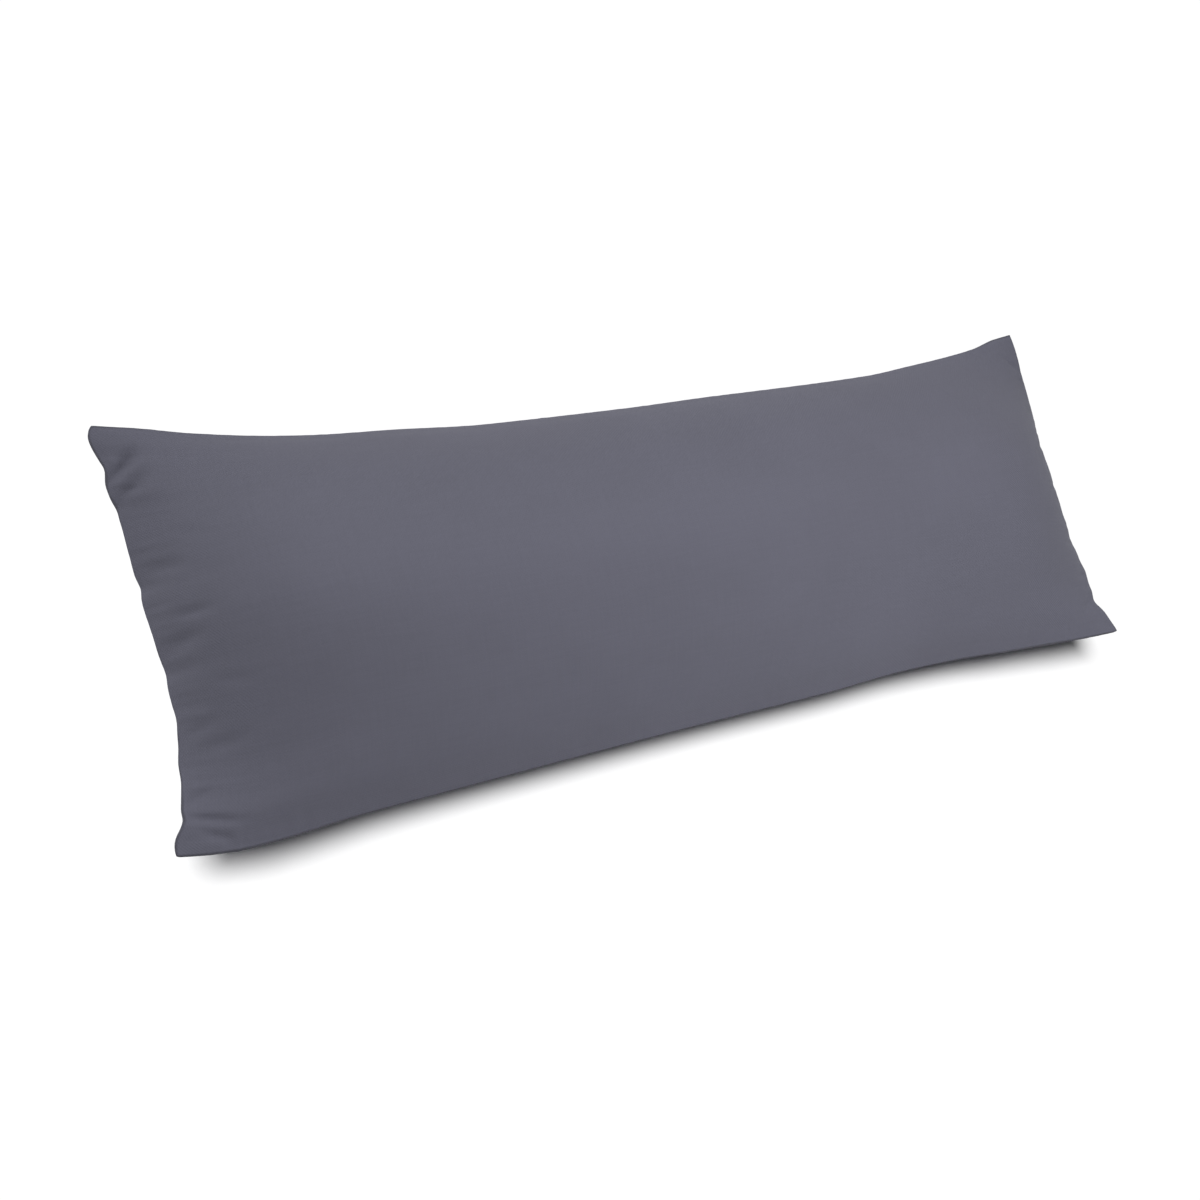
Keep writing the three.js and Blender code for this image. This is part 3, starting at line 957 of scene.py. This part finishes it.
@dataclass
class PillowCover:
    """The filled cover: both panels in one closed mesh, settled as cloth, its seam pressed."""

    form: PillowForm = field(default_factory=PillowForm)
    cloth: ClothSettings = field(default_factory=ClothSettings)
    press: SeamPress = field(default_factory=SeamPress)
    cut_length: float = 914
    cut_width: float = 356
    seam_rows: tuple[float, ...] = (0, 0.45, 1.0, 1.7, 2.6, 4.0)
    fine_spacing: float = 2.5
    coarse_spacing: float = 5.4
    fine_reach: float = 60
    panels_apart: float = 1.1  # on the threads map, in cut widths
    seam_line: np.ndarray | None = field(default=None, init=False)  # closed, once it is built

    def build(self) -> bpy.types.Object:
        """Make the finished cover, with its material still to come.

        Returns:
            The cover, in the scene.
        """
        grid = PanelGrid(
            self.form,
            rows_from_seam(
                self.cut_length,
                self.seam_rows,
                self.fine_spacing,
                self.coarse_spacing,
                self.fine_reach,
            ),
            rows_from_seam(
                self.cut_width,
                self.seam_rows,
                self.fine_spacing,
                self.fine_spacing,
                self.fine_reach,
            ),
        )
        moves = self._settle()
        points = {}
        for panel in Panel:
            along, up = grid.plan(panel)
            drawn = self.form.panel_points(along, up, panel) - self.form.middle()
            if moves is not None:
                by_length = read_between(moves[panel], grid.s * self.cloth.cells_along)
                by_width = read_between(by_length.swapaxes(0, 1), grid.r * self.cloth.cells_across)
                drawn = drawn + by_width.swapaxes(0, 1)
            points[panel] = self._pressed(drawn, along, up, panel)
        front = points[Panel.FRONT]
        self.seam_line = np.concatenate(
            [front[:-1, 0], front[-1, :-1], front[:0:-1, -1], front[0, :0:-1]]
        )
        mesh = grid.mesh("pillow_cover", points)
        self._lay_threads(mesh, grid)
        self._mark_seam_distance(mesh, grid, points)
        cover = bpy.data.objects.new("pillow_cover", mesh)
        bpy.context.scene.collection.objects.link(cover)
        LOG.info("cover: %d points, %d faces", len(mesh.vertices), len(mesh.polygons))
        return cover

    def _pressed(
        self, drawn: np.ndarray, along: np.ndarray, up: np.ndarray, panel: Panel
    ) -> np.ndarray:
        """Press the sewn edge: lips, groove, turned-in allowance and fine ripples.

        Args:
            drawn: Points of the panel.
            along: Their shares of the length.
            up: Their shares of the width.
            panel: Which of the two panels.

        Returns:
            The points, pressed.
        """
        press = self.press
        down_length = np.gradient(drawn, axis=0)
        down_width = np.gradient(drawn, axis=1)
        normal = np.cross(down_length, down_width)
        normal /= np.maximum(np.linalg.norm(normal, axis=-1, keepdims=True), 1e-9)
        if panel is Panel.BACK:
            normal = -normal
        to_left = np.linalg.norm(drawn - drawn[:1], axis=-1)
        to_right = np.linalg.norm(drawn - drawn[-1:], axis=-1)
        to_lower = np.linalg.norm(drawn - drawn[:, :1], axis=-1)
        to_upper = np.linalg.norm(drawn - drawn[:, -1:], axis=-1)
        to_short = np.minimum(to_left, to_right)
        to_long = np.minimum(to_lower, to_upper)
        to_seam = np.minimum(to_short, to_long)

        raised = press.lip * bell(to_seam - press.lip_at, press.lip_width)
        raised += press.allowance_step / (
            1 + np.exp((to_seam - press.allowance) / press.allowance_ease * 2)
        )
        rng = np.random.default_rng(press.seed)
        for distance, place, size, reach in (
            (to_short, up * self.cut_width, press.gathered_ripple, press.gathered_reach),
            (to_long, along * self.cut_length, press.ripple, press.ripple_reach),
        ):
            wave = np.zeros_like(place)
            for share in press.ripple_shares:
                phase = rng.uniform(0, 2 * math.pi)
                drift = rng.uniform(-press.ripple_drift, press.ripple_drift)
                turns = 2 * math.pi * place / (press.ripple_pitch * share)
                wave += np.sin(turns + phase + drift * distance / press.drift_run)
            near = distance / reach
            raised += (
                size * wave / press.ripple_mix * near * np.exp(1 - near) * np.exp(-(near**2) * 0.5)
            )
        drawn = drawn + normal * raised[..., None]

        # Seam line drawn back between the lips
        inward = np.zeros_like(drawn)
        inward[..., 0] = np.where(to_left < to_right, 1, -1) * (to_short <= to_long + 1e-6)
        inward[..., 1] = np.where(to_lower < to_upper, 1, -1) * (to_long <= to_short + 1e-6)
        drawn = drawn + inward * (press.groove * bell(to_seam, press.groove_width))[..., None]
        drawn[..., 2] = np.maximum(drawn[..., 2], 0)
        return drawn

    def _lay_threads(self, mesh: bpy.types.Mesh, grid: PanelGrid) -> None:
        """Give each corner its place on the flat cut panels, in metres, as the UV map.

        Args:
            mesh: The cover's mesh.
            grid: Its threads.
        """
        corners = []
        s = grid.s * self.cut_length * MM
        r = grid.r * self.cut_width * MM
        s2, r2 = np.meshgrid(s, r, indexing="ij")
        for panel in Panel:
            aside = (panel is Panel.BACK) * self.cut_width * MM * self.panels_apart
            flat = np.stack([s2, r2 - aside], axis=-1)
            around = [flat[:-1, :-1], flat[1:, :-1], flat[1:, 1:], flat[:-1, 1:]]
            if panel is Panel.BACK:
                around.reverse()
            corners.append(np.stack(around, axis=-2).reshape(-1))
        threads = mesh.uv_layers.new(name=THREADS_MAP)
        threads.data.foreach_set("uv", np.concatenate(corners))

    def _mark_seam_distance(
        self, mesh: bpy.types.Mesh, grid: PanelGrid, points: dict[Panel, np.ndarray]
    ) -> None:
        """Keep each point's distance from the seam line, in metres, as an attribute.

        Args:
            mesh: The cover's mesh.
            grid: Its threads.
            points: Place of each crossing, in millimetres.
        """
        distance = {}
        for panel, place in points.items():
            to_sides = [
                np.linalg.norm(place - side, axis=-1)
                for side in (place[:1], place[-1:], place[:, :1], place[:, -1:])
            ]
            distance[panel] = np.minimum.reduce(to_sides) * MM
        mark = mesh.attributes.new(SEAM_DISTANCE, "FLOAT", "POINT")
        mark.data.foreach_set("value", grid.gather(distance))

    def _settle(self) -> dict[Panel, np.ndarray]:
        """Settle a plain cover as cloth over its filling, held at the seam and the flat patch.

        Returns:
            How far each crossing of the plain cover moves, in millimetres.
        """
        cloth = self.cloth
        grid = PanelGrid(
            self.form,
            np.linspace(0, 1, cloth.cells_along + 1),
            np.linspace(0, 1, cloth.cells_across + 1),
        )
        plain, hold, let_out = {}, {}, {}
        for panel in Panel:
            along, up = grid.plan(panel)
            points = self.form.panel_points(along, up, panel, has_puckers=False)
            plain[panel] = points - self.form.middle()
            hold[panel] = np.full(along.shape, cloth.filling_hold)
            if panel is Panel.BACK:
                near_patch = np.clip(1 - points[..., 2] / cloth.patch_hold, 0, 1)
                hold[panel] = np.maximum(hold[panel], near_patch)
            hold[panel][grid.on_seam()] = 1
            x = points[..., 0]
            to_short = np.minimum(x - x[:1], x[-1:] - x)
            wider = plain[panel].copy()
            wider[..., 1] *= 1 + cloth.let_out * bell(to_short, cloth.let_out_run)
            let_out[panel] = wider

        mesh = grid.mesh("plain_cover", plain)
        cover = bpy.data.objects.new("plain_cover", mesh)
        bpy.context.scene.collection.objects.link(cover)
        cover.shape_key_add(name="drawn")
        cut = cover.shape_key_add(name="let_out")
        cut.data.foreach_set("co", (grid.gather(let_out) * MM).ravel())
        held = cover.vertex_groups.new(name="held")
        for index, weight in enumerate(grid.gather(hold)):
            held.add([index], float(weight), "REPLACE")

        modifier = cover.modifiers.new("cover_cloth", "CLOTH")
        settings = modifier.settings
        settings.quality = cloth.quality
        settings.mass = cloth.mass
        settings.air_damping = cloth.air_damping
        for strain in ("tension", "compression", "shear", "bending"):
            setattr(settings, strain + "_stiffness", getattr(cloth, strain))
            setattr(settings, strain + "_damping", cloth.damping)
        settings.use_pressure = True
        settings.uniform_pressure_force = cloth.pressure
        settings.vertex_group_mass = held.name
        settings.pin_stiffness = 1.0
        settings.rest_shape_key = cut
        settings.effector_weights.gravity = 0
        modifier.collision_settings.use_collision = False
        modifier.collision_settings.use_self_collision = False
        modifier.point_cache.frame_start = 1
        modifier.point_cache.frame_end = cloth.frames
        scene = bpy.context.scene
        for frame_number in range(1, cloth.frames + 1):
            scene.frame_set(frame_number)
        evaluated = cover.evaluated_get(bpy.context.evaluated_depsgraph_get())
        settled_mesh = evaluated.to_mesh()
        settled = np.empty(len(settled_mesh.vertices) * 3)
        settled_mesh.vertices.foreach_get("co", settled)
        evaluated.to_mesh_clear()
        settled = settled.reshape(-1, 3) / MM
        cover.modifiers.remove(modifier)
        bpy.data.objects.remove(cover)
        bpy.data.meshes.remove(mesh)
        scene.frame_set(1)

        moves = {}
        for panel, own in grid.numbers().items():
            move = settled[own] - plain[panel]
            size = np.linalg.norm(move, axis=-1, keepdims=True)
            move = move * (cloth.cap * np.tanh(size / cloth.cap) / np.maximum(size, 1e-9))
            moves[panel] = evened(move, cloth.evening_passes)
            LOG.info(
                "%s settled: mean move %.1f mm, largest %.1f mm before the cap",
                panel.value,
                size.mean(),
                size.max(),
            )
        return moves


@dataclass(frozen=True)
class SeamStitches:
    """The stitches that lie in the groove of the seam, all round the pillow."""

    pitch: float = 3.0
    length: float = 2.2
    thickness: float = 0.4
    slant: float = 9.0  # in degrees across the seam
    unevenness: float = 0.12
    segments: int = 6
    rings: int = 5
    seed: int = 36

    def build(self, seam_line: np.ndarray) -> bpy.types.Object:
        """Lay the stitches along the seam line.

        Args:
            seam_line: The closed seam line's points, in millimetres.

        Returns:
            All the stitches in one plain mesh.
        """
        line = bpy.data.meshes.new("seam_line")
        count = len(seam_line)
        edges = [(k, (k + 1) % count) for k in range(count)]
        line.from_pydata((seam_line * MM).tolist(), edges, [])
        carrier = bpy.data.objects.new("seam_line", line)
        bpy.context.scene.collection.objects.link(carrier)
        modifier = carrier.modifiers.new("stitches", "NODES")
        modifier.node_group = self._tree()
        sizes = {
            "Pitch": self.pitch * MM,
            "Length": self.length * MM,
            "Thickness": self.thickness * MM,
            "Slant": math.radians(self.slant),
            "Unevenness": self.unevenness,
            "Seed": self.seed,
            "Thread": SewingThread().build(),
        }
        for item in modifier.node_group.interface.items_tree:
            if item.in_out == "INPUT" and item.name in sizes:
                modifier[item.identifier] = sizes[item.name]
        carrier.update_tag()
        graph = bpy.context.evaluated_depsgraph_get()
        mesh = bpy.data.meshes.new_from_object(carrier.evaluated_get(graph), depsgraph=graph)
        mesh.name = "seam_stitches"
        bpy.data.objects.remove(carrier)
        bpy.data.meshes.remove(line)
        stitches = bpy.data.objects.new("seam_stitches", mesh)
        bpy.context.scene.collection.objects.link(stitches)
        LOG.info("stitches: %d faces", len(mesh.polygons))
        return stitches

    def _tree(self) -> bpy.types.NodeTree:
        """Make the tree that repeats one stitch at each pitch of the seam line.

        Returns:
            The tree, its sizes still to be given.
        """
        tree = bpy.data.node_groups.new("stitches_along_seam", "GeometryNodeTree")
        sockets = (
            ("Line", "Geometry"),
            ("Pitch", "Float"),
            ("Length", "Float"),
            ("Thickness", "Float"),
            ("Slant", "Float"),
            ("Unevenness", "Float"),
            ("Seed", "Int"),
            ("Thread", "Material"),
        )
        for name, kind in sockets:
            tree.interface.new_socket(name, in_out="INPUT", socket_type="NodeSocket" + kind)
        tree.interface.new_socket("Stitches", in_out="OUTPUT", socket_type="NodeSocketGeometry")
        given = add_node(tree, "NodeGroupInput").outputs

        # One place for each stitch, turned along the seam
        curve = add_node(tree, "GeometryNodeMeshToCurve", inputs={"Mesh": given["Line"]})
        places = add_node(
            tree,
            "GeometryNodeCurveToPoints",
            {"mode": "LENGTH"},
            {"Curve": curve.outputs[0], "Length": given["Pitch"]},
        )
        along = add_node(
            tree,
            "FunctionNodeAlignRotationToVector",
            {"axis": "X"},
            {"Vector": places.outputs["Tangent"]},
        )
        slant = add_node(tree, "ShaderNodeCombineXYZ", inputs={"Z": given["Slant"]})
        slanted = add_node(
            tree,
            "FunctionNodeRotateRotation",
            {"rotation_space": "LOCAL"},
            {"Rotation": along.outputs[0], "Rotate By": slant.outputs[0]},
        )

        # One stitch: a short, rounded run of thread
        ball = add_node(
            tree,
            "GeometryNodeMeshUVSphere",
            inputs={"Segments": self.segments, "Rings": self.rings, "Radius": 0.5},
        )
        smooth = add_node(tree, "GeometryNodeSetShadeSmooth", inputs={0: ball.outputs["Mesh"]})
        size = add_node(
            tree,
            "ShaderNodeCombineXYZ",
            inputs={"X": given["Length"], "Y": given["Thickness"], "Z": given["Thickness"]},
        )
        shorter, longer = (
            add_node(tree, "ShaderNodeMath", {"operation": step}, {0: 1.0, 1: given["Unevenness"]})
            for step in ("SUBTRACT", "ADD")
        )
        uneven = add_node(
            tree,
            "FunctionNodeRandomValue",
            {"data_type": "FLOAT"},
            {2: shorter.outputs[0], 3: longer.outputs[0], "Seed": given["Seed"]},
        )
        scale = add_node(
            tree,
            "ShaderNodeVectorMath",
            {"operation": "SCALE"},
            {0: size.outputs[0], "Scale": uneven.outputs[1]},
        )
        laid = add_node(
            tree,
            "GeometryNodeInstanceOnPoints",
            inputs={
                "Points": places.outputs["Points"],
                "Instance": smooth.outputs[0],
                "Rotation": slanted.outputs[0],
                "Scale": scale.outputs[0],
            },
        )
        solid = add_node(tree, "GeometryNodeRealizeInstances", inputs={0: laid.outputs[0]})
        threaded = add_node(
            tree,
            "GeometryNodeSetMaterial",
            inputs={"Geometry": solid.outputs[0], "Material": given["Thread"]},
        )
        add_node(tree, "NodeGroupOutput", inputs={"Stitches": threaded.outputs[0]})
        return tree


@dataclass(frozen=True)
class SoftLight:
    """A distant soft light, for the pillow or for the floor alone."""

    name: str
    toward: tuple[float, float, float]  # from the pillow to the light
    spread: float  # how wide it looks, in degrees
    strength: float  # in watts for each square metre that faces it


@dataclass(frozen=True)
class DiskLamp:
    """A round soft lamp near the pillow, which it faces."""

    name: str
    place: tuple[float, float, float]  # in metres
    size: float
    power: float


@dataclass
class Studio:
    """The pale floor, the soft lights and the camera at the photograph's angle."""

    # Camera against the four ear tips, in millimetres in the pillow's own plan
    camera_place: tuple[float, float, float] = (-518.6, -240.1, 992.4)
    camera_right: tuple[float, float, float] = (0.8945, -0.2626, 0.3617)
    camera_up: tuple[float, float, float] = (0.1629, 0.9451, 0.2834)
    lens_mm: float = 37.58
    sensor_mm: float = 36.0
    near_clip: float = 0.01
    far_clip: float = 100
    floor_half_width: float = 6.0
    floor_drop: float = 0.0005  # below the resting patch, so that the two never share a plane
    floor_colour: str = "#f4f4f4"
    floor_roughness: float = 0.9
    hang_at: float = 2  # how far from the pillow a distant light is drawn
    room_strength: float = 0.05
    window: SoftLight = SoftLight("window", (-0.394, 0.682, 0.616), 110, 1.87)
    ceiling_lamp: DiskLamp = DiskLamp("ceiling_lamp", (0, 0.6, 1.9), 0.9, 12.9)
    low_fill: DiskLamp = DiskLamp("low_fill", (0.2, -0.51, 0.64), 0.35, 2.55)
    side_fill: SoftLight = SoftLight("side_fill", (0.98, -0.1, 0.2), 50, 0.7)
    end_fill: SoftLight = SoftLight("end_fill", (-0.95, 0.3, 0.1), 40, 0.3)
    floor_lamp: SoftLight = SoftLight("floor_lamp", (-0.34, 0.115, 0.93), 24, 3.65)

    def build(self, middle: np.ndarray, pieces: Sequence[bpy.types.Object]) -> None:
        """Make the camera, the floor and the lights.

        Args:
            middle: Plan middle of the pillow's form, which lies at the origin.
            pieces: The pillow's own objects, lit apart from the floor.
        """
        self._camera(middle)
        floor = self._floor()
        self._room()
        self._hang(self.window, pieces)
        self._place(self.ceiling_lamp, pieces)
        self._place(self.low_fill, pieces)
        self._hang(self.side_fill, pieces)
        self._hang(self.end_fill, pieces)
        self._hang(self.floor_lamp, [floor])
        view = bpy.context.scene.view_settings
        view.view_transform = "Standard"
        view.look = "None"

    def _camera(self, middle: np.ndarray) -> None:
        """Place the camera.

        Args:
            middle: Plan middle of the pillow's form.
        """
        data = bpy.data.cameras.new("camera")
        data.lens = self.lens_mm
        data.sensor_width = self.sensor_mm
        data.clip_start = self.near_clip
        data.clip_end = self.far_clip
        camera = bpy.data.objects.new("camera", data)
        right = Vector(self.camera_right).normalized()
        up = Vector(self.camera_up)
        back = right.cross(up).normalized()
        up = back.cross(right)
        turn = Matrix((right, up, back)).transposed().to_4x4()
        place = (np.array(self.camera_place) - middle) * MM
        camera.matrix_world = Matrix.Translation(Vector(place)) @ turn
        bpy.context.scene.collection.objects.link(camera)
        bpy.context.scene.camera = camera

    def _floor(self) -> bpy.types.Object:
        """Lay the pale floor.

        Returns:
            The floor.
        """
        mesh = bpy.data.meshes.new("floor")
        half = self.floor_half_width
        corners = [(-half, -half, 0), (half, -half, 0), (half, half, 0), (-half, half, 0)]
        mesh.from_pydata(corners, [], [(0, 1, 2, 3)])
        floor = bpy.data.objects.new("floor", mesh)
        bpy.context.scene.collection.objects.link(floor)
        material = bpy.data.materials.new("matt_white_paint")
        material.use_nodes = True
        shader = material.node_tree.nodes["Principled BSDF"]
        shader.inputs["Base Color"].default_value = linear(self.floor_colour)
        shader.inputs["Roughness"].default_value = self.floor_roughness
        mesh.materials.append(material)
        floor.location.z = -self.floor_drop
        return floor

    def _room(self) -> None:
        """Surround the pillow with a dim, even white room."""
        world = bpy.data.worlds.new("white_room")
        world.use_nodes = True
        background = world.node_tree.nodes["Background"]
        background.inputs["Color"].default_value = (1, 1, 1, 1)
        background.inputs["Strength"].default_value = self.room_strength
        bpy.context.scene.world = world

    def _hang(self, light: SoftLight, lit: Sequence[bpy.types.Object]) -> None:
        """Hang a soft light that lights some objects alone.

        Args:
            light: Where it hangs, how wide it is and how strong.
            lit: The objects that it lights.
        """
        data = bpy.data.lights.new(light.name, "SUN")
        data.angle = math.radians(light.spread)
        data.energy = light.strength
        lamp = bpy.data.objects.new(light.name, data)
        toward = Vector(light.toward).normalized()
        lamp.location = toward * self.hang_at
        lamp.rotation_euler = toward.to_track_quat("Z", "Y").to_euler()
        self._light_only(lamp, lit)

    def _place(self, disk: DiskLamp, lit: Sequence[bpy.types.Object]) -> None:
        """Place a round soft lamp that lights some objects alone.

        Args:
            disk: Where it is, how wide and how strong.
            lit: The objects that it lights.
        """
        data = bpy.data.lights.new(disk.name, "AREA")
        data.shape = "DISK"
        data.size = disk.size
        data.energy = disk.power
        lamp = bpy.data.objects.new(disk.name, data)
        place = Vector(disk.place)
        lamp.location = place
        lamp.rotation_euler = place.to_track_quat("Z", "Y").to_euler()
        self._light_only(lamp, lit)

    def _light_only(self, lamp: bpy.types.Object, lit: Sequence[bpy.types.Object]) -> None:
        """Put a lamp in the scene that lights some objects alone.

        Args:
            lamp: The lamp.
            lit: The objects that it lights.
        """
        bpy.context.scene.collection.objects.link(lamp)
        receivers = bpy.data.collections.new("lit_by_" + lamp.name)
        for thing in lit:
            receivers.objects.link(thing)
        lamp.light_linking.receiver_collection = receivers


def main() -> None:
    """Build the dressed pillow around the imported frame."""
    logging.basicConfig(level=logging.INFO, format="%(name)s: %(message)s")
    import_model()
    cover = PillowCover()
    panels = cover.build()
    panels.data.materials.append(WovenCotton().build())
    stitches = SeamStitches().build(cover.seam_line)
    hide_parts(NODE)
    for piece in (panels, stitches):
        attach(piece, BODY)
    Studio().build(cover.form.middle(), [panels, stitches])


if __name__ == "__main__":
    main()
